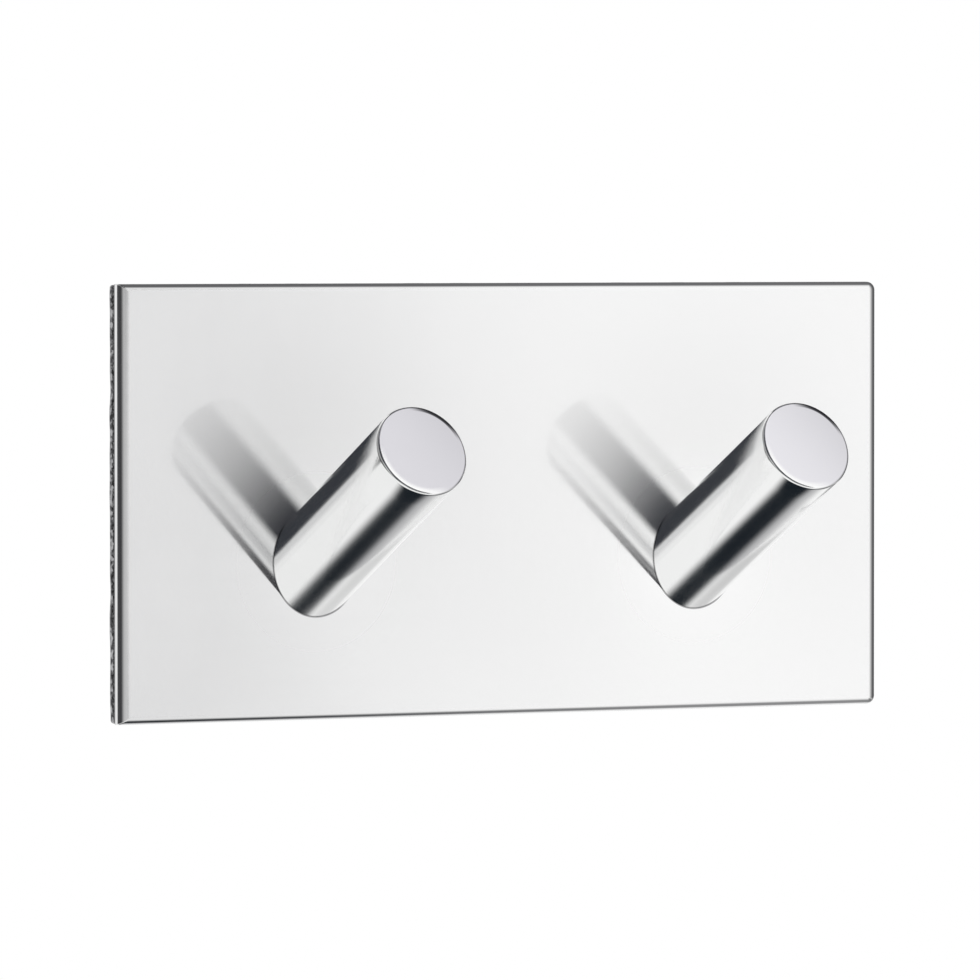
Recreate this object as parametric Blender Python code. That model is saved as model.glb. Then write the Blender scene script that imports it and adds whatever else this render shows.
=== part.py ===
"""A self-adhesive towel hook with two pegs.

A polished steel plate with a rolled front edge sits on a pad of foam tape. Two round
pegs lean up and out of it. Each peg is cut at a slant, so that its foot sits flat on
the plate, and a countersunk screw from behind the plate holds it.

The wall is the plane y = 0 and the front faces -Y. The origin is the middle of the
tape's back, which sticks to the wall. All sizes are in metres.
"""

import math

import bmesh
import bpy
from mathutils import Matrix, Vector

# Plate
plate_width = 0.090
plate_height = 0.045
plate_thickness = 0.0015
plate_corner_radius = 0.0010
face_corner_radius = 0.0002
edge_roll_width = 0.0012
edge_roll_depth = 0.0008
least_edge_flat = 0.0002

# Foam tape
tape_thickness = 0.0008

# Pegs, measured from the plate's face along the centre line
peg_diameter = 0.010
peg_length = 0.026
peg_tilt = math.radians(27.5)
peg_spacing = 0.045
peg_drop = 0.0062
peg_rim_radius = 0.0003

# Countersunk screws
screw_diameter = 0.0030
screw_length = 0.0060
screw_head_diameter = 0.0055
screw_head_land = 0.0001
screw_tip_chamfer = 0.0004
socket_width = 0.0020
socket_depth = 0.0009
hole_spare_depth = 0.0007
drill_point_angle = math.radians(118)

# Clearance between neighbours, and how far a cutter runs past what it cuts
seat_gap = 0.0003
cutter_overrun = 0.0005

# Facets and shading
corner_steps = 8
roll_steps = 6
rim_steps = 4
peg_sides = 96
screw_sides = 48
sharp_angle = math.radians(30)
weld_distance = 1e-7
quarter_turn = math.radians(90)

# Distances in front of the wall
plate_back = tape_thickness + seat_gap
plate_front = plate_back + plate_thickness
peg_seat = plate_front + seat_gap
screw_tip = plate_back + screw_length

# A peg leans up from its foot, so its screw sits above the foot's middle
screw_rise = (screw_tip - peg_seat) / 2 * math.tan(peg_tilt)


def clear_scene():
    for thing in list(bpy.data.objects):
        bpy.data.objects.remove(thing, do_unlink=True)


def plain_material(name, color, roughness, metallic):
    material = bpy.data.materials.new(name)
    material.use_nodes = True
    shader = material.node_tree.nodes["Principled BSDF"]
    shader.inputs["Base Color"].default_value = (*color, 1.0)
    shader.inputs["Roughness"].default_value = roughness
    shader.inputs["Metallic"].default_value = metallic
    material.diffuse_color = (*color, 1.0)
    return material


def plate_steel():
    return plain_material("plate_steel", (0.82, 0.82, 0.83), 0.10, 1.0)


def peg_steel():
    return plain_material("peg_steel", (0.78, 0.78, 0.80), 0.07, 1.0)


def screw_steel():
    return plain_material("screw_steel", (0.55, 0.55, 0.54), 0.35, 1.0)


def dark_foam():
    return plain_material("dark_foam", (0.035, 0.036, 0.040), 0.90, 0.0)


def add_object(name, bm, material, parent):
    """A named object made from bm, shaded smooth up to its sharp edges."""
    bmesh.ops.recalc_face_normals(bm, faces=bm.faces)
    mesh = bpy.data.meshes.new(name)
    bm.to_mesh(mesh)
    bm.free()
    mesh.shade_smooth()
    mesh.set_sharp_from_angle(angle=sharp_angle)
    if material:
        mesh.materials.append(material)
    thing = bpy.data.objects.new(name, mesh)
    thing.parent = parent
    bpy.context.scene.collection.objects.link(thing)
    return thing


def make_cutter(thing):
    thing.hide_render = True
    thing.display_type = "WIRE"


def cut(thing, cutter):
    """Takes the cutter's space out of the object."""
    modifier = thing.modifiers.new(cutter.name, "BOOLEAN")
    modifier.operation = "DIFFERENCE"
    modifier.solver = "EXACT"
    modifier.object = cutter


def rounded_outline(inset, corner_radius, distance):
    """Points round the plate's outline, drawn in by inset, at a distance in front of the wall."""
    half_width = plate_width / 2 - inset - corner_radius
    half_height = plate_height / 2 - inset - corner_radius
    points = []
    for corner, (side_x, side_z) in enumerate(((1, 1), (-1, 1), (-1, -1), (1, -1))):
        for step in range(corner_steps + 1):
            angle = quarter_turn * (corner + step / corner_steps)
            x = side_x * half_width + corner_radius * math.cos(angle)
            z = side_z * half_height + corner_radius * math.sin(angle)
            points.append((x, -distance, z))
    return points


def lofted(outlines):
    """A closed solid through outlines of equal point counts, flat at both ends."""
    bm = bmesh.new()
    loops = []
    for outline in outlines:
        verts = [bm.verts.new(point) for point in outline]
        loops.append([bm.edges.new(pair) for pair in zip(verts, verts[1:] + verts[:1])])
    for loop, following in zip(loops, loops[1:]):
        bmesh.ops.bridge_loops(bm, edges=loop + following)
    for end in (loops[0], loops[-1]):
        bmesh.ops.edgeloop_fill(bm, edges=end)
    return bm


def turned(profile, sides):
    """A closed solid made by turning (radius, height) points about Z, from axis to axis."""
    bm = bmesh.new()
    verts = [bm.verts.new((radius, 0.0, height)) for radius, height in profile]
    edges = [bm.edges.new(pair) for pair in zip(verts, verts[1:])]
    bmesh.ops.spin(
        bm,
        geom=verts + edges,
        cent=(0.0, 0.0, 0.0),
        axis=(0.0, 0.0, 1.0),
        angle=math.tau,
        steps=sides,
        use_merge=True,
    )
    bmesh.ops.remove_doubles(bm, verts=bm.verts, dist=weld_distance)
    return bm


def put_on_screw_line(thing, x):
    """Lays a turned piece along a screw's line, with its heights measured out from the wall."""
    thing.location = (x, 0.0, screw_rise - peg_drop)
    thing.rotation_euler = (quarter_turn, 0.0, 0.0)


def make_foam_tape(material, parent):
    outlines = [rounded_outline(0.0, plate_corner_radius, y) for y in (0.0, tape_thickness)]
    return add_object("foam_tape", lofted(outlines), material, parent)


def make_face_plate(material, parent):
    """The plate, with a front edge that rolls over in a quarter of an ellipse."""
    roll_depth = min(edge_roll_depth, plate_thickness - least_edge_flat)
    outlines = [rounded_outline(0.0, plate_corner_radius, plate_back)]
    for step in range(roll_steps + 1):
        angle = quarter_turn * step / roll_steps
        share = 1 - math.cos(angle)
        corner_radius = plate_corner_radius + share * (face_corner_radius - plate_corner_radius)
        distance = plate_front - roll_depth * (1 - math.sin(angle))
        outlines.append(rounded_outline(share * edge_roll_width, corner_radius, distance))
    return add_object("face_plate", lofted(outlines), material, parent)


def make_screw_space(name, x, parent):
    """The countersink, clearance hole and tapped hole of one screw, as one cutter."""
    head_radius = screw_head_diameter / 2 + math.sqrt(2) * seat_gap
    hole_radius = screw_diameter / 2 + seat_gap
    cone_start = plate_back + screw_head_land
    mouth = plate_back - cutter_overrun
    wall_end = screw_tip + hole_spare_depth
    profile = (
        (0.0, mouth),
        (head_radius + cone_start - mouth, mouth),
        (hole_radius, cone_start + head_radius - hole_radius),
        (hole_radius, wall_end),
        (0.0, wall_end + hole_radius / math.tan(drill_point_angle / 2)),
    )
    cutter = add_object(name, turned(profile, screw_sides), None, parent)
    put_on_screw_line(cutter, x)
    make_cutter(cutter)
    return cutter


def make_socket_cutter(name, x, parent):
    """The hexagonal socket in a screw's head."""
    bm = bmesh.new()
    bottom = plate_back + socket_depth
    mouth = plate_back - cutter_overrun
    bmesh.ops.create_cone(
        bm,
        cap_ends=True,
        segments=6,
        radius1=socket_width / math.sqrt(3),
        radius2=socket_width / math.sqrt(3),
        depth=bottom - mouth,
        matrix=Matrix.Translation((0.0, 0.0, (bottom + mouth) / 2)),
    )
    cutter = add_object(name, bm, None, parent)
    put_on_screw_line(cutter, x)
    make_cutter(cutter)
    return cutter


def make_screw(name, x, material, parent):
    """A countersunk screw whose head is flush with the plate's back."""
    shank_radius = screw_diameter / 2
    head_radius = screw_head_diameter / 2
    cone_start = plate_back + screw_head_land
    profile = (
        (0.0, plate_back),
        (head_radius, plate_back),
        (head_radius, cone_start),
        (shank_radius, cone_start + head_radius - shank_radius),
        (shank_radius, screw_tip - screw_tip_chamfer),
        (shank_radius - screw_tip_chamfer, screw_tip),
        (0.0, screw_tip),
    )
    screw = add_object(name, turned(profile, screw_sides), material, parent)
    put_on_screw_line(screw, x)
    cut(screw, make_socket_cutter(name + "_socket", x, parent))
    return screw


def make_peg(name, x, material, parent):
    """A round bar with a rounded rim, its foot cut parallel to the plate."""
    radius = peg_diameter / 2
    foot = -radius * math.tan(peg_tilt) - cutter_overrun
    profile = [(0.0, foot), (radius, foot)]
    for step in range(rim_steps + 1):
        angle = quarter_turn * step / rim_steps
        rim = peg_rim_radius * (1 - math.cos(angle))
        height = peg_length - peg_rim_radius * (1 - math.sin(angle))
        profile.append((radius - rim, height))
    profile.append((0.0, peg_length))
    bm = turned(profile, peg_sides)
    plate_normal = Vector((0.0, -math.sin(peg_tilt), math.cos(peg_tilt)))
    sliced = bmesh.ops.bisect_plane(
        bm,
        geom=bm.verts[:] + bm.edges[:] + bm.faces[:],
        plane_co=plate_normal * seat_gap,
        plane_no=plate_normal,
        clear_inner=True,
    )
    rim_edges = [part for part in sliced["geom_cut"] if isinstance(part, bmesh.types.BMEdge)]
    bmesh.ops.edgeloop_fill(bm, edges=rim_edges)
    peg = add_object(name, bm, material, parent)
    peg.location = (x, -plate_front, -peg_drop)
    peg.rotation_euler = (quarter_turn - peg_tilt, 0.0, 0.0)
    return peg


def build():
    clear_scene()
    hook = bpy.data.objects.new("towel_hook", None)
    bpy.context.scene.collection.objects.link(hook)
    bar_steel = peg_steel()
    fastener_steel = screw_steel()
    make_foam_tape(dark_foam(), hook)
    plate = make_face_plate(plate_steel(), hook)
    for side, x in (("left", -peg_spacing / 2), ("right", peg_spacing / 2)):
        screw_space = make_screw_space("screw_space_" + side, x, hook)
        peg = make_peg("peg_" + side, x, bar_steel, hook)
        make_screw("screw_" + side, x, fastener_steel, hook)
        cut(plate, screw_space)
        cut(peg, screw_space)


build()
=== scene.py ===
"""A self-adhesive towel hook with two pegs, dressed and lit for its picture.

The wall is the plane y = 0 and the front faces -Y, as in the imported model. Every length
is in millimetres, and is scaled to metres as each mesh, bump, lamp and camera is made. A
pair of numbers is where a change begins and ends.
"""

import bpy
import numpy as np
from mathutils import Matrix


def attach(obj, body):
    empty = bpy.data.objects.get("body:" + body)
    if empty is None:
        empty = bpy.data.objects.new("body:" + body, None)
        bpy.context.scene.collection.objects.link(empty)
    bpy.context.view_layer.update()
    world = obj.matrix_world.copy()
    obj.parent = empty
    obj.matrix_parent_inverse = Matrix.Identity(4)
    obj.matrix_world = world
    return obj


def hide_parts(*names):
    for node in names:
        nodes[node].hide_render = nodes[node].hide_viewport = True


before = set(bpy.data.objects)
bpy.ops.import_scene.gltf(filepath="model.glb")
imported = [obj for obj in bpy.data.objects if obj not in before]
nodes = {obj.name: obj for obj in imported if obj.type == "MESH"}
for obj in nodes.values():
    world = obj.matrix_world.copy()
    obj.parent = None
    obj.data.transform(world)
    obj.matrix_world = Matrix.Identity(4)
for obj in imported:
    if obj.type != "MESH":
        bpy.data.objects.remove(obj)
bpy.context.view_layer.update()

metres = 0.001
full_turn = 2 * np.pi
sharp_angle = np.radians(30)

# Plate
plate_width = 90.0
plate_height = 45.0
plate_back = 1.1
plate_front = 2.6
plate_corners = np.array((0.9, 0.1, 0.12, 0.9))
face_corner = 0.03
roll_width = 1.2
roll_height = 0.8
roll_depth = 0.9

# Foam tape
tape_corner = 0.3
tape_front = plate_back
cell_size = 0.5
cell_depth = 0.10
cell_seed = 3
cut_size = 4.0
cut_depth = 0.06
cut_stretch = (1, 0.2, 1)
cut_seed = 5

# Pegs
peg_places = {"left": -22.5, "right": 22.5}
peg_radius = 5.0
peg_length = 26.0
peg_tilt = np.radians(27.5)
peg_drop = 6.2
rim_radius = 0.3
peg_along = np.array((0.0, -np.cos(peg_tilt), np.sin(peg_tilt)))
peg_upward = np.array((0.0, np.sin(peg_tilt), np.cos(peg_tilt)))

# Screw holes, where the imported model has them, and how far their cutter overruns the plate
hole_radius = 1.8
head_radius = 3.17
hole_height = -5.107
hole_end = 7.8
drill_point = 8.88
overrun = 0.5

# Numbers of points round each form, of rings or steps along it, and of a noise's waves
hole_points = 96
corner_steps = 12
roll_rings = 17
peg_points = 240
bar_rings = 13
rim_steps = 10
tape_points = 1400
tape_rings = 11
card_points = 17
wave_count = 24

# Plate finish, as distances from the middle of the nearer foot
mirror_run = (5.0, 30.0)
mirror_curve = 1.5
mirror_halvings = 6.6
mirror_fade = (26.0, 16.5)
seen_fade = (21.2, 15.8)

# Painted shadow on the plate along each foot's lower left, and the direction it lies in
foot_shadow_width = 0.175
foot_shadow_side = (-1.0, 1.5)
foot_shadow_way = (-0.75, -0.66)
foot_shadow_strength = 0.8

# Plate finish, as places across and in front of the wall
# Painted shade: the plate's base darkens towards the left end over this run
painted_light_run = (-60.0, 20.0)
right_half = (0.0, 1.0)
roll_front = (-1.8, -2.1)
back_edge_band = (-1.30, -1.22)
back_edge_darkness = 0.85

# Plate finish, as shares of the roll from its inner side out
roll_mirror = (0.0, 0.15)
# Painted reflection on the rolled ends: lighter on the inner side, darker outwards
roll_painted_light = (0.0, 0.3)
roll_painted_shade = 0.45
off_mitre = (0.0, 0.25)
outer_mitre = (0.4, 0.7)

# Peg finish, as painted light from the left peg to the right, and short of the end
peg_light_run = (-25.0, 25.0)
end_face = (0.08, 0.02)

# Painted highlight and painted dark arc of reflection on a peg's end, from its centre line and towards one
# side
glint_radius = (4.1, 4.6)
glint_side = (2.0, 4.2)
glint_way = (-0.6, -0.8)
arc_start = (0.4, 0.3)
arc_radius = (4.38, 4.54)
arc_side = (3.4, 4.6)
arc_way = (0.6, 0.8)

# Foam finish, as places in front of the wall
ragged_by = 0.15
film_edge = (-0.42, -0.28)
plate_side = (-0.72, -0.82)
back_skin = (-0.06, -0.02)

# Floor and cards
floor_height = -450.0
floor_reach = 2600.0
floor_fade = (800.0, 2500.0)
card_distance = 2200.0
card_step = 50.0

# Light and camera
world_light = 0.935
lamp_size = 1200.0
camera_place = (-466.8, -852.1, 28.5)
camera_dip = np.radians(1.63)
camera_turn = np.radians(-28.68)
camera_near = 10.0
lens = 341.6
sensor = 36.0

# Tones that are used more than once, and the middle of a noise's range
smoke = (0.055, 0.057, 0.065)
steel_swatch = (0.93, 0.93, 0.94, 1.0)
noise_middle = (0.3, 0.7)


# Meshes
def new_piece(name, places, faces, slot, *replaced):
    """A piece from points in millimetres and lists of corners, shaded smooth up to its sharp edges.

    With a slot it is part of the hook, and stands in for the solids that it replaces.
    Cutters, the floor and the cards have none.
    """
    mesh = bpy.data.meshes.new(name)
    mesh.from_pydata((np.asarray(places) * metres).tolist(), [], faces)
    mesh.update()
    mesh.shade_smooth()
    mesh.set_sharp_from_angle(angle=sharp_angle)
    piece = bpy.data.objects.new(name, mesh)
    bpy.context.scene.collection.objects.link(piece)
    if slot:
        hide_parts(*replaced)
        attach(piece, "root")
    return piece


def joined_rings(rings, flat_start, flat_end):
    """Points and faces of a closed skin through rings of shape (ring, around, xyz).

    Each ring joins the next by quads. An end is one flat face, or else a fan of
    triangles to the middle of its last ring, which has shrunk to a point.
    """
    rings = np.asarray(rings, float)
    count, around = rings.shape[:2]
    first = 0 if flat_start else 1
    last = count if flat_end else count - 1
    places = rings[first:last].reshape(-1, 3)
    step = np.arange(around)
    following = (step + 1) % around
    row = np.arange(last - first - 1)[:, None] * around
    quads = np.stack((row + step, row + following, row + around + following, row + around + step), -1)
    faces = quads.reshape(-1, 4).tolist()
    end_row = (last - first - 1) * around
    if flat_start:
        faces.append(step[::-1].tolist())
    else:
        pole = len(places)
        places = np.vstack((places, rings[0].mean(0)))
        faces += np.stack((following, step, np.full(around, pole)), -1).tolist()
    if flat_end:
        faces.append((end_row + step).tolist())
    else:
        pole = len(places)
        places = np.vstack((places, rings[-1].mean(0)))
        faces += np.stack((end_row + step, end_row + following, np.full(around, pole)), -1).tolist()
    return places, faces


def rounded_outline(inset, corner, distance):
    """Points round the plate's rectangle with quarter-circle corners, at y = -distance.

    inset draws the outline in, across and up. corner is one radius, or four: top right,
    top left, bottom left, bottom right.
    """
    turn = np.linspace(0, 1, corner_steps + 1)[None, :] + np.arange(4)[:, None]
    angle = turn * full_turn / 4
    side_x = np.array((1, -1, -1, 1))[:, None]
    side_z = np.array((1, 1, -1, -1))[:, None]
    radius = np.broadcast_to(corner, 4)[:, None]
    x = side_x * (plate_width / 2 - inset[0] - radius) + radius * np.cos(angle)
    z = side_z * (plate_height / 2 - inset[1] - radius) + radius * np.sin(angle)
    return np.stack((x, np.full_like(x, -distance), z), -1).reshape(-1, 3)


def circle(x, radius, distance, count):
    """Points round a screw's line at a distance in front of the wall."""
    angle = np.arange(count) * full_turn / count
    z = hole_height + radius * np.sin(angle)
    return np.stack((x + radius * np.cos(angle), np.full(count, -distance), z), -1)


def add_weighted_normals(piece):
    """Lets the large flat faces keep their own direction next to a rolled edge."""
    smooth = piece.modifiers.new("even_shading", "WEIGHTED_NORMAL")
    smooth.keep_sharp = True
    smooth.weight = 100


def cut_screw_hole(piece, side):
    """Takes one screw's countersink and clearance hole out of the plate."""
    x = peg_places[side]
    cone_end = plate_back + head_radius - hole_radius
    profile = (
        (0.0, plate_back - overrun),
        (head_radius + overrun, plate_back - overrun),
        (head_radius, plate_back),
        (hole_radius, cone_end),
        (hole_radius, plate_front + overrun),
        (0.0, plate_front + overrun),
    )
    rings = [circle(x, radius, distance, hole_points) for radius, distance in profile]
    cutter = new_piece("hole_" + side, *joined_rings(rings, False, False), None)
    hole = piece.modifiers.new("hole_" + side, "BOOLEAN")
    hole.operation = "DIFFERENCE"
    hole.solver = "EXACT"
    hole.object = cutter
    return cutter


def settle(piece):
    """Gives the piece the mesh that its modifiers make, and takes the modifiers off."""
    graph = bpy.context.evaluated_depsgraph_get()
    mesh = bpy.data.meshes.new_from_object(piece.evaluated_get(graph))
    piece.modifiers.clear()
    piece.data = mesh


def make_plate():
    """The plate, whose front edge rolls over in a quarter of an ellipse.

    Rings run from the back to the face. At share s of the roll the outline is drawn in by
    s times its width and height, and its depth follows the ellipse. The roll is wider at
    the two ends than along the top and bottom.
    """
    angle = np.linspace(0, np.pi / 2, roll_rings)
    share = 1 - np.cos(angle)
    insets = share[:, None] * (roll_width, roll_height)
    corners = plate_corners + share[:, None] * (face_corner - plate_corners)
    distances = plate_front - roll_depth * (1 - np.sin(angle))
    rings = [rounded_outline((0, 0), plate_corners, plate_back)]
    for inset, corner, distance in zip(insets, corners, distances):
        rings.append(rounded_outline(inset, corner, distance))
    plate = new_piece("polished_plate", *joined_rings(rings, True, True), "plate_steel", "face_plate")
    cutters = [cut_screw_hole(plate, side) for side in peg_places]
    settle(plate)
    for cutter in cutters:
        bpy.data.objects.remove(cutter)
    plate.data.set_sharp_from_angle(angle=sharp_angle)
    add_weighted_normals(plate)
    return plate


def make_peg(side):
    """One round bar leaning up from the plate, with a tapped hole in its foot.

    Rings run from the hole's drill point out to the foot, where each line along the bar
    meets the plate's face, then up the bar, round the rim in a quarter circle, and to the
    middle of the end. A point's height over the foot's middle, across the bar, times the
    tangent of the tilt is how far along the bar its line meets the plate.
    """
    x = peg_places[side]
    angle = np.arange(peg_points) * full_turn / peg_points
    across = np.outer(np.cos(angle), (1.0, 0.0, 0.0)) + np.outer(np.sin(angle), peg_upward)
    start = np.array((x, -plate_front, -peg_drop))
    foot = peg_radius * np.sin(angle) * np.tan(peg_tilt)
    straight_end = peg_length - rim_radius
    rise = np.linspace(0, 1, bar_rings)[:, None]
    lengths = foot + rise * (straight_end - foot)
    side_rings = start + peg_radius * across + lengths[..., None] * peg_along
    turn = np.linspace(0, np.pi / 2, rim_steps + 1)[1:, None, None]
    radii = peg_radius - rim_radius * (1 - np.cos(turn))
    heights = straight_end + rim_radius * np.sin(turn)
    rim_rings = start + radii * across + heights * peg_along
    end = np.broadcast_to(start + peg_length * peg_along, (1, peg_points, 3))
    profile = ((0.0, drill_point), (hole_radius, hole_end), (hole_radius, plate_front))
    hole = [circle(x, radius, distance, peg_points) for radius, distance in profile]
    rings = np.concatenate((hole, side_rings, rim_rings, end))
    peg = new_piece(side + "_bar", *joined_rings(rings, False, False), "peg_steel", "peg_" + side)
    add_weighted_normals(peg)
    return peg


def soft_noise(places, size, seed):
    """A smooth random value at each point, mostly from -1 to 1.

    It is the sum of sine waves of one length in random directions, divided by the
    square root of their number.
    """
    random = np.random.default_rng(seed)
    waves = random.normal(size=(wave_count, 3))
    waves *= full_turn / size / np.linalg.norm(waves, axis=1, keepdims=True)
    phases = random.uniform(0, full_turn, wave_count)
    return np.sin(places @ waves.T + phases).sum(1) / np.sqrt(wave_count)


def make_tape():
    """The foam tape, cut round the plate's outline.

    Rings run from the wall to the plate. Each point of the cut edge is drawn in towards
    the plate's middle by two depths, each times one plus a noise: the cut's, which runs
    five times as long through the tape as round it, and the cells', which also falls to
    nothing at the two sticky faces as the root of a sine.
    """
    outline = rounded_outline((0, 0), tape_corner, 0.0)
    closed = np.vstack((outline, outline[:1]))
    lengths = np.linalg.norm(np.diff(closed, axis=0), axis=1)
    marks = np.concatenate(((0.0,), np.cumsum(lengths)))
    spots = np.arange(tape_points) * marks[-1] / tape_points
    edge = np.stack([np.interp(spots, marks, closed[:, axis]) for axis in range(3)], -1)
    inward = -edge * (1 / plate_width, 0, 1 / plate_height)
    inward /= np.linalg.norm(inward, axis=1, keepdims=True)
    share = np.linspace(0, 1, tape_rings)[:, None]
    places = np.repeat(edge[None], tape_rings, 0)
    places[..., 1] = -share * tape_front
    flat = places.reshape(-1, 3)
    cells = soft_noise(flat, cell_size, cell_seed).reshape(tape_rings, tape_points)
    cut = soft_noise(flat * cut_stretch, cut_size, cut_seed).reshape(tape_rings, tape_points)
    swell = np.sin(share * np.pi) ** 0.5
    depth = cut_depth * (1 + cut) + cell_depth * swell * (1 + cells)
    rings = places + np.clip(depth, 0, None)[..., None] * inward
    return new_piece("foam_pad", *joined_rings(rings, True, True), "foam", "foam_tape")


# Finishes
class Finish:
    """A node material under construction, around one Principled shader."""

    def __init__(self, name):
        self.material = bpy.data.materials.new(name)
        self.material.use_nodes = True
        self.tree = self.material.node_tree
        self.shader = self.tree.nodes["Principled BSDF"]

    def put(self, socket, value):
        """Links the socket to another one, or sets it to a number, a direction or a tone."""
        if isinstance(value, bpy.types.NodeSocket):
            self.tree.links.new(value, socket)
        elif socket.type == "RGBA":
            socket.default_value = (*value, 1.0)
        else:
            socket.default_value = value

    def node(self, kind, values=None, **settings):
        """A node with settings, and its sockets set to values or linked to other sockets."""
        node = self.tree.nodes.new(kind)
        for name, value in settings.items():
            setattr(node, name, value)
        for name, value in (values or {}).items():
            self.put(node.inputs[name], value)
        return node

    def set(self, **values):
        """Sets the shader's sockets, named with underscores for spaces."""
        for name, value in values.items():
            self.put(self.shader.inputs[name.replace("_", " ")], value)

    def place(self):
        """Object coordinates in millimetres."""
        values = {0: self.node("ShaderNodeTexCoord").outputs["Object"], "Scale": 1 / metres}
        return self.node("ShaderNodeVectorMath", values, operation="SCALE").outputs[0]

    def axes(self):
        """The three coordinates in millimetres."""
        return tuple(self.node("ShaderNodeSeparateXYZ", {0: self.place()}).outputs)

    def travel(self, start, direction):
        """How far each point lies from start, along a direction of length one."""
        values = {0: self.place(), 1: direction}
        whole = self.node("ShaderNodeVectorMath", values, operation="DOT_PRODUCT").outputs["Value"]
        return self.less(whole, np.dot(start, direction))

    def noise(self, per_millimetre, detail, stretch=(1, 1, 1)):
        """Noise with so many spots in a millimetre, times the stretch along each axis."""
        place = self.node("ShaderNodeMapping", {"Vector": self.place(), "Scale": stretch})
        values = {"Vector": place.outputs[0], "Scale": per_millimetre, "Detail": detail}
        return self.node("ShaderNodeTexNoise", values).outputs["Fac"]

    def spread(self, value, low, high, least=0.0, most=1.0, smooth=True):
        """Carries low..high on to least..most. The first two can also run downwards."""
        values = {"Value": value, "From Min": low, "From Max": high, "To Min": least, "To Max": most}
        kind = "SMOOTHSTEP" if smooth else "LINEAR"
        return self.node("ShaderNodeMapRange", values, interpolation_type=kind).outputs[0]

    def work_out(self, operation, first, second=0.0):
        """One sum with two values, each a number or a socket."""
        return self.node("ShaderNodeMath", {0: first, 1: second}, operation=operation).outputs[0]

    def plus(self, first, second):
        return self.work_out("ADD", first, second)

    def less(self, first, second):
        return self.work_out("SUBTRACT", first, second)

    def times(self, first, second):
        return self.work_out("MULTIPLY", first, second)

    def larger(self, first, second):
        return self.work_out("MAXIMUM", first, second)

    def power(self, first, second):
        return self.work_out("POWER", first, second)

    def mix(self, share, first, second):
        """A tone that runs from first to second as share goes from 0 to 1."""
        return self.node("ShaderNodeMix", {0: share, 6: first, 7: second}, data_type="RGBA").outputs[2]

    def bump(self, height, distance, strength=1.0):
        values = {"Height": height, "Distance": distance * metres, "Strength": strength}
        return self.node("ShaderNodeBump", values).outputs[0]

    def show(self, share, first, second):
        """Makes the surface run from one shader to another as share goes from 0 to 1."""
        values = {0: share, 1: first.outputs[0], 2: second.outputs[0]}
        surface = self.tree.nodes["Material Output"].inputs["Surface"]
        self.put(surface, self.node("ShaderNodeMixShader", values).outputs[0])


def edge_shares(steel):
    """How far out each point is on the plate's rolled ends, and on its rolled top and bottom."""
    x, _, z = steel.axes()
    shares = []
    for axis, size, roll in ((x, plate_width, roll_width), (z, plate_height, roll_height)):
        shares.append(steel.spread(steel.work_out("ABSOLUTE", axis), size / 2 - roll, size / 2))
    return shares


def across_peg(steel):
    """The distance to the right of the nearer peg's centre line."""
    pitch = peg_places["right"] - peg_places["left"]
    moved = steel.plus(steel.axes()[0], pitch)
    return steel.less(steel.work_out("FLOORED_MODULO", moved, pitch), pitch / 2)


def hypotenuse(finish, across, rise):
    """The root of the two squares' sum."""
    squares = finish.plus(finish.times(across, across), finish.times(rise, rise))
    return finish.power(squares, 0.5)


def towards(steel, across, rise, right, up):
    """How far each point lies in a slanted direction, given by its shares to the right and up."""
    return steel.plus(steel.times(across, right), steel.times(rise, up))


def plate_mirror(steel, away, seen):
    """How much of the plate's surface is mirror, from 0 to 1.

    It is a half to the power of a number that grows with the distance from the nearer
    foot's middle, and it fades out at 26 mm. A peg sees a full mirror up to about 18 mm
    from that middle. The roll is all mirror, except for the inner part of each sharp
    corner on the left, where two rolls meet, so that no dark line shows there.
    """
    run = steel.spread(away, *mirror_run, smooth=False)
    halvings = steel.times(steel.power(run, mirror_curve), mirror_halvings)
    mirror = steel.times(steel.power(0.5, halvings), steel.spread(away, *mirror_fade))
    ends, rails = edge_shares(steel)
    outward = steel.larger(ends, rails)
    apart = steel.work_out("ABSOLUTE", steel.less(ends, rails))
    whole = steel.larger(steel.spread(apart, *off_mitre), steel.spread(outward, *outer_mitre))
    whole = steel.larger(whole, steel.spread(steel.axes()[0], *right_half))
    edge = steel.times(steel.spread(outward, *roll_mirror), whole)
    near = steel.times(seen, steel.spread(away, *seen_fade))
    return steel.larger(mirror, steel.larger(near, edge))


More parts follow.
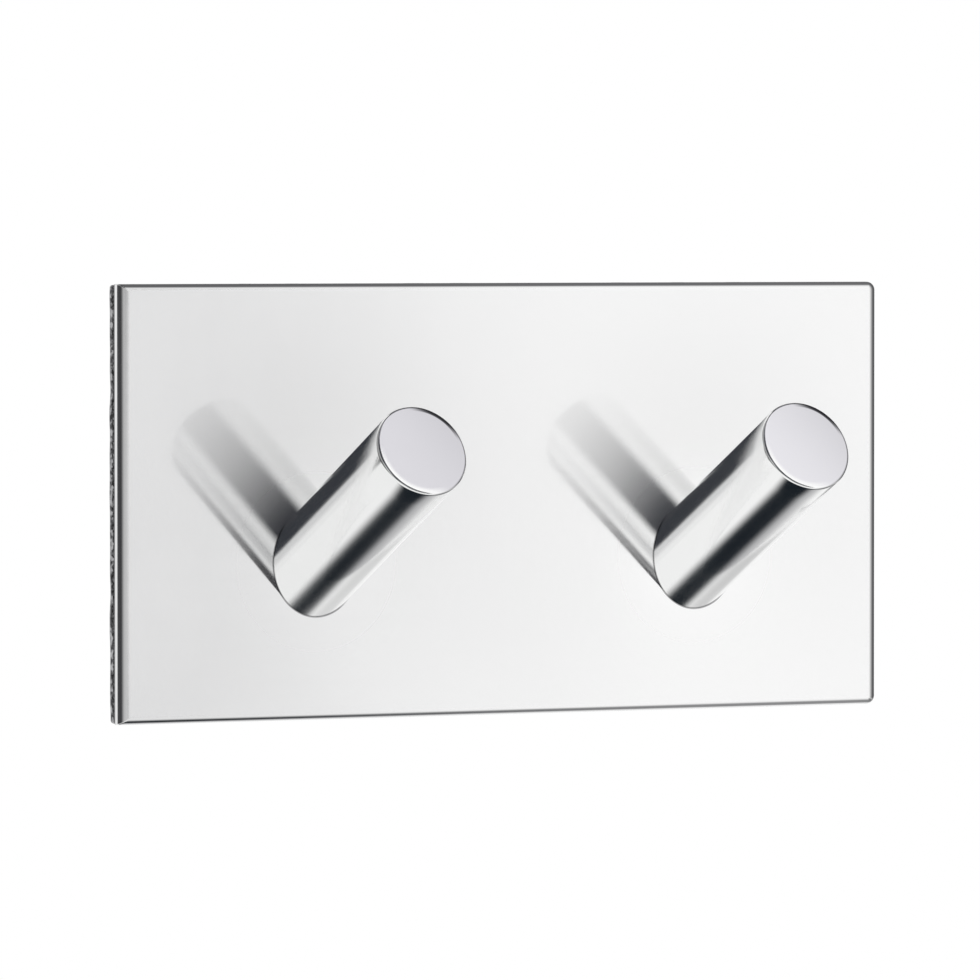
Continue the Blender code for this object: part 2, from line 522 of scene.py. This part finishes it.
def plate_finish():
    """Satin steel: a mirror round the pegs' feet and on the rolled edge, paler and hazier away from them.

    The base darkens towards the left end as painted shade, and the roll at the two ends is
    painted lighter inside and darker outwards as painted reflection. A painted shadow lies
    along each foot's lower left, a dark line runs where the plate meets the tape, and in the
    pegs' reflections the plate is painted near-white.
    """
    steel = Finish("satin_plate_steel")
    haze = steel.noise(0.06, 4, (1, 1, 0.6))
    lines = steel.noise(0.9, 2, (0.05, 1, 1))
    x, y, z = steel.axes()
    across = across_peg(steel)
    rise = steel.plus(z, peg_drop)
    away = hypotenuse(steel, across, rise)
    foot = hypotenuse(steel, across, steel.times(rise, np.cos(peg_tilt)))
    # Painted shadow: a thin dark band on the plate round the lower left of each foot
    foot_shadow = steel.spread(foot, peg_radius + foot_shadow_width, peg_radius, 0, foot_shadow_strength)
    foot_shadow = steel.times(foot_shadow, steel.spread(towards(steel, across, rise, *foot_shadow_way), *foot_shadow_side))
    # A dark band on the plate's back edge, next to the tape
    back_edge_dark = steel.spread(y, *back_edge_band, 0, back_edge_darkness)
    ends = edge_shares(steel)[0]
    front = steel.spread(y, *roll_front)
    # Painted reflection on the front of the rolled ends, lighter inside and darker outwards
    painted_roll_light = steel.times(steel.spread(ends, *roll_painted_light), front)
    painted_end_light = steel.times(steel.times(ends, roll_painted_shade), front)
    # Painted light: a darker tone at the left end, paler towards the right
    pale = steel.mix(steel.spread(x, *painted_light_run), (0.68, 0.68, 0.685), (0.945, 0.945, 0.945))
    tone = steel.mix(steel.spread(haze, *noise_middle, 0, 0.2), pale, (0.95, 0.95, 0.95))
    # Painted reflection tones on the roll
    tone = steel.mix(painted_roll_light, tone, (0.88, 0.88, 0.88))
    tone = steel.mix(painted_end_light, tone, (0.0, 0.0, 0.0))
    # Painted reflection: in what the pegs reflect, the plate's tone is painted near-white
    seen = steel.node("ShaderNodeLightPath").outputs["Is Glossy Ray"]
    tone = steel.mix(seen, tone, (0.99, 0.99, 0.99))
    tone = steel.mix(steel.larger(foot_shadow, back_edge_dark), tone, (0.03, 0.03, 0.035))
    rough = steel.spread(haze, *noise_middle, 0.06, 0.08)
    rough = steel.plus(rough, steel.spread(lines, *noise_middle, 0, 0.02))
    steel.set(Base_Color=tone, Roughness=rough, Metallic=plate_mirror(steel, away, seen))
    steel.set(Coat_Weight=1.0, Coat_Roughness=0.05, Coat_IOR=1.5)
    steel.material.diffuse_color = steel_swatch
    return steel.material


def peg_finish():
    """Mirror-polished bar, painted darker on the left peg, with painted shade on its end face, a painted
    highlight at its lower left and a painted dark arc of reflection opposite.
    """
    steel = Finish("polished_peg_steel")
    haze = steel.noise(0.11, 3)
    foot = (0.0, -plate_front, -peg_drop)
    along = steel.travel(foot, peg_along)
    rise = steel.travel(foot, peg_upward)
    across = across_peg(steel)
    out = hypotenuse(steel, across, rise)
    end = steel.spread(along, *(peg_length - short for short in end_face))
    # Painted highlight on the lower left of the end face
    lower_left = steel.spread(towards(steel, across, rise, *glint_way), *glint_side)
    glint = steel.times(steel.spread(out, *glint_radius), lower_left)
    # Painted reflection: a thin dark arc at the upper right of the end's rim
    upper_right = steel.spread(towards(steel, across, rise, *arc_way), *arc_side)
    arc = steel.times(steel.spread(out, *arc_radius), upper_right)
    arc = steel.times(arc, steel.spread(along, *(peg_length - short for short in arc_start)))
    # Painted light: the left bar's tone is darker than the right's
    right = steel.spread(steel.axes()[0], *peg_light_run)
    tone = steel.mix(right, (0.82, 0.825, 0.82), (0.875, 0.88, 0.875))
    tone = steel.mix(steel.spread(haze, *noise_middle, 0, 0.3), tone, (0.90, 0.90, 0.90))
    # Painted shade on the end face, darker on the left peg
    painted_end_light = steel.mix(right, (0.725, 0.715, 0.755), (0.83, 0.82, 0.86))
    painted_end_light = steel.mix(glint, painted_end_light, (1.0, 1.0, 1.0))
    tone = steel.mix(end, tone, painted_end_light)
    tone = steel.mix(arc, tone, (0.04, 0.04, 0.045))
    steel.set(Base_Color=tone, Roughness=steel.spread(haze, *noise_middle, 0.085, 0.12), Metallic=1.0)
    steel.material.diffuse_color = steel_swatch
    return steel.material


def screw_finish():
    """Turned steel with fine rings round the screw's line."""
    steel = Finish("turned_screw_steel")
    rings = steel.noise(1.5, 2, (0.4, 3, 0.4))
    tone = steel.mix(rings, (0.45, 0.45, 0.44), (0.62, 0.62, 0.60))
    steel.set(Base_Color=tone, Roughness=steel.spread(rings, *noise_middle, 0.28, 0.42), Metallic=1.0)
    steel.set(Normal=steel.bump(rings, 0.03))
    return steel.material


def foam_finish():
    """Dark foam with open cells, greyer next to the plate, and a paler sticky film along the wall."""
    foam = Finish("dark_foam_and_film")
    depth = foam.axes()[1]
    cells = foam.noise(4.0, 2)
    patches = foam.noise(1.4, 3)
    ragged = foam.plus(depth, foam.spread(patches, *noise_middle, -ragged_by, ragged_by))
    film = foam.spread(ragged, *film_edge)
    near_plate = foam.spread(ragged, *plate_side)
    core = foam.mix(foam.spread(cells, 0.42, 0.62), (0.006, 0.006, 0.007), (0.09, 0.09, 0.095))
    grey = foam.mix(foam.spread(cells, 0.4, 0.65), (0.03, 0.03, 0.032), (0.20, 0.20, 0.205))
    sticky = foam.mix(foam.spread(patches, 0.40, 0.62), (0.06, 0.06, 0.065), (0.42, 0.42, 0.43))
    back = foam.mix(foam.spread(patches, 0.25, 0.75), (0.20, 0.20, 0.205), (0.30, 0.30, 0.305))
    sticky = foam.mix(foam.spread(depth, *back_skin), sticky, back)
    tone = foam.mix(film, foam.mix(near_plate, core, grey), sticky)
    foam.set(Base_Color=tone, Roughness=foam.spread(film, 0, 1, 0.92, 0.55))
    foam.set(Normal=foam.bump(foam.plus(cells, patches), 0.08, 0.6))
    return foam.material


def put_on(finish, *pieces):
    for piece in pieces:
        piece.data.materials.clear()
        piece.data.materials.append(finish)


# Surroundings
def make_floor():
    """A plain pale floor that fades into the white around it, and doesn't show from below."""
    turns = ((-1, -1), (1, -1), (1, 1), (-1, 1))
    corners = [(floor_reach * x, floor_reach * y, floor_height) for x, y in turns]
    floor = new_piece("floor", corners, [(0, 1, 2, 3)], None)
    paint = Finish("pale_floor")
    paint.set(Base_Color=(0.88, 0.88, 0.88), Roughness=0.9)
    far = paint.spread(hypotenuse(paint, *paint.axes()[:2]), *floor_fade)
    under = paint.node("ShaderNodeNewGeometry").outputs["Backfacing"]
    paint.show(paint.larger(far, under), paint.shader, paint.node("ShaderNodeBsdfTransparent"))
    put_on(paint.material, floor)
    floor.visible_glossy = False


def make_card(name, round_range, up_range, soft, tone, distance):
    """A card that only the metal sees, as a patch of a sphere round the hook.

    Its two parameters are degrees round from the front and degrees up. soft is how many
    degrees each edge takes to fade out: left, right, low, high.
    """
    share = np.linspace(0, 1, card_points)
    across, upward = np.meshgrid(share, share)
    round_angle = np.radians(round_range[0] + across * (round_range[1] - round_range[0]))
    up_angle = np.radians(up_range[0] + upward * (up_range[1] - up_range[0]))
    level = np.cos(up_angle)
    places = np.stack((level * np.sin(round_angle), -level * np.cos(round_angle), np.sin(up_angle)), -1)
    step = np.arange(card_points - 1)
    first = (step[:, None] * card_points + step).ravel()
    faces = np.stack((first, first + 1, first + card_points + 1, first + card_points), -1)
    card = new_piece(name, places.reshape(-1, 3) * distance, faces.tolist(), None)
    shares = np.stack((across, upward), -1).reshape(-1, 2)
    layer = card.data.uv_layers.new(name="shares")
    layer.data.foreach_set("uv", shares[faces.ravel()].ravel())
    put_on(card_material(name, round_range, up_range, soft, tone), card)
    card.visible_camera = False
    card.visible_diffuse = False
    card.visible_shadow = False


def card_material(name, round_range, up_range, soft, tone):
    """An even glow of the card's tone that fades out towards each edge."""
    card = Finish(name)
    shares = card.node("ShaderNodeUVMap", uv_map="shares").outputs[0]
    shares = card.node("ShaderNodeSeparateXYZ", {0: shares}).outputs
    cover = 1.0
    for share, limits, (start, end) in ((shares[0], round_range, soft[:2]), (shares[1], up_range, soft[2:])):
        extent = limits[1] - limits[0]
        if start:
            cover = card.times(cover, card.spread(share, 0, start / extent))
        if end:
            cover = card.times(cover, card.spread(share, 1, 1 - end / extent))
    glow = card.node("ShaderNodeEmission", {"Color": tone})
    card.show(cover, card.node("ShaderNodeBsdfTransparent"), glow)
    card.tree.nodes.remove(card.shader)
    card.material.cycles.emission_sampling = "NONE"
    return card.material


def make_world():
    """White where the camera or the metal looks, and a softer white as light."""
    world = bpy.data.worlds.new("white_studio")
    world.use_nodes = True
    tree = world.node_tree
    path = tree.nodes.new("ShaderNodeLightPath")
    seen = path.outputs["Is Camera Ray"]
    for name in ("Is Glossy Ray", "Is Transmission Ray"):
        either = tree.nodes.new("ShaderNodeMath")
        either.operation = "MAXIMUM"
        tree.links.new(seen, either.inputs[0])
        tree.links.new(path.outputs[name], either.inputs[1])
        seen = either.outputs[0]
    level = tree.nodes.new("ShaderNodeMapRange")
    level.inputs["To Min"].default_value = world_light
    tree.links.new(seen, level.inputs["Value"])
    background = tree.nodes["Background"]
    background.inputs["Color"].default_value = (1.0, 1.0, 1.0, 1.0)
    tree.links.new(level.outputs[0], background.inputs["Strength"])
    bpy.context.scene.world = world


def make_lamp(name, place, power):
    """A soft square lamp that faces the hook and lights only what isn't metal."""
    light = bpy.data.lights.new(name, "AREA")
    light.size = lamp_size * metres
    light.energy = power
    lamp = bpy.data.objects.new(name, light)
    bpy.context.scene.collection.objects.link(lamp)
    lamp.location = np.multiply(place, metres)
    lamp.rotation_euler = (-lamp.location).to_track_quat("-Z", "Y").to_euler()
    lamp.visible_glossy = False


def make_camera():
    camera = bpy.data.cameras.new("camera")
    camera.sensor_width = sensor
    camera.lens = lens
    camera.clip_start = camera_near * metres
    viewer = bpy.data.objects.new("camera", camera)
    viewer.location = np.multiply(camera_place, metres)
    viewer.rotation_euler = (full_turn / 4 - camera_dip, 0.0, camera_turn)
    bpy.context.scene.collection.objects.link(viewer)
    bpy.context.scene.camera = viewer


plate = make_plate()
pegs = [make_peg(side) for side in peg_places]
tape = make_tape()
put_on(plate_finish(), plate)
put_on(peg_finish(), *pegs)
put_on(foam_finish(), tape)
put_on(screw_finish(), nodes["screw_left"], nodes["screw_right"])

# Cards, each with degrees round from the front, degrees up, soft edges and tone
cards = (
    ("corner_card", (-18, 26.5), (-16, -3.6), (14, 1.5, 3, 1.2), (0.06, 0.06, 0.065)),
    ("front_card", (-38, 26), (-0.5, 32), (15, 1.5, 3.5, 6), (0.038, 0.041, 0.049)),
    ("brow_card", (-30, 34), (26, 60), (20, 12, 8, 10), smoke),
    ("upper_card", (-62, 34), (14, 84), (10, 50, 16, 0), smoke),
    ("left_card", (-143, -30), (-16, 14), (5, 40, 6, 10), (0.09, 0.09, 0.095)),
    ("upper_left_card", (-150, -52), (6, 84), (20, 12, 8, 0), (0.35, 0.35, 0.355)),
    ("right_card", (34, 176), (-26, 84), (54, 6, 14, 0), (0.15, 0.15, 0.155)),
    ("lower_right_card", (30, 128), (-64, -18), (32, 12, 8, 10), (0.25, 0.25, 0.255)),
    ("horizon_card", (-80, 29), (-10, 3), (20, 50, 7, 3), (0.72, 0.72, 0.725)),
    ("top_card", (-180, 180), (70, 90), (0, 0, 8, 0), (0.10, 0.10, 0.105)),
    ("low_card", (-180, 180), (-90, -50), (0, 0, 0, 14), (0.011, 0.015, 0.020)),
    ("low_right_card", (100, 190), (-90, -28), (25, 30, 0, 26), (0.50, 0.50, 0.51)),
)
make_floor()
for step, card in enumerate(cards):
    make_card(*card, card_distance + step * card_step)
make_world()
make_lamp("key_lamp", (900, -1100, 1200), 3.0)
make_lamp("fill_lamp", (-1300, -500, 500), 2.0)
make_lamp("back_lamp", (400, 1300, 900), 2.0)
make_camera()
bpy.context.scene.view_settings.view_transform = "Standard"
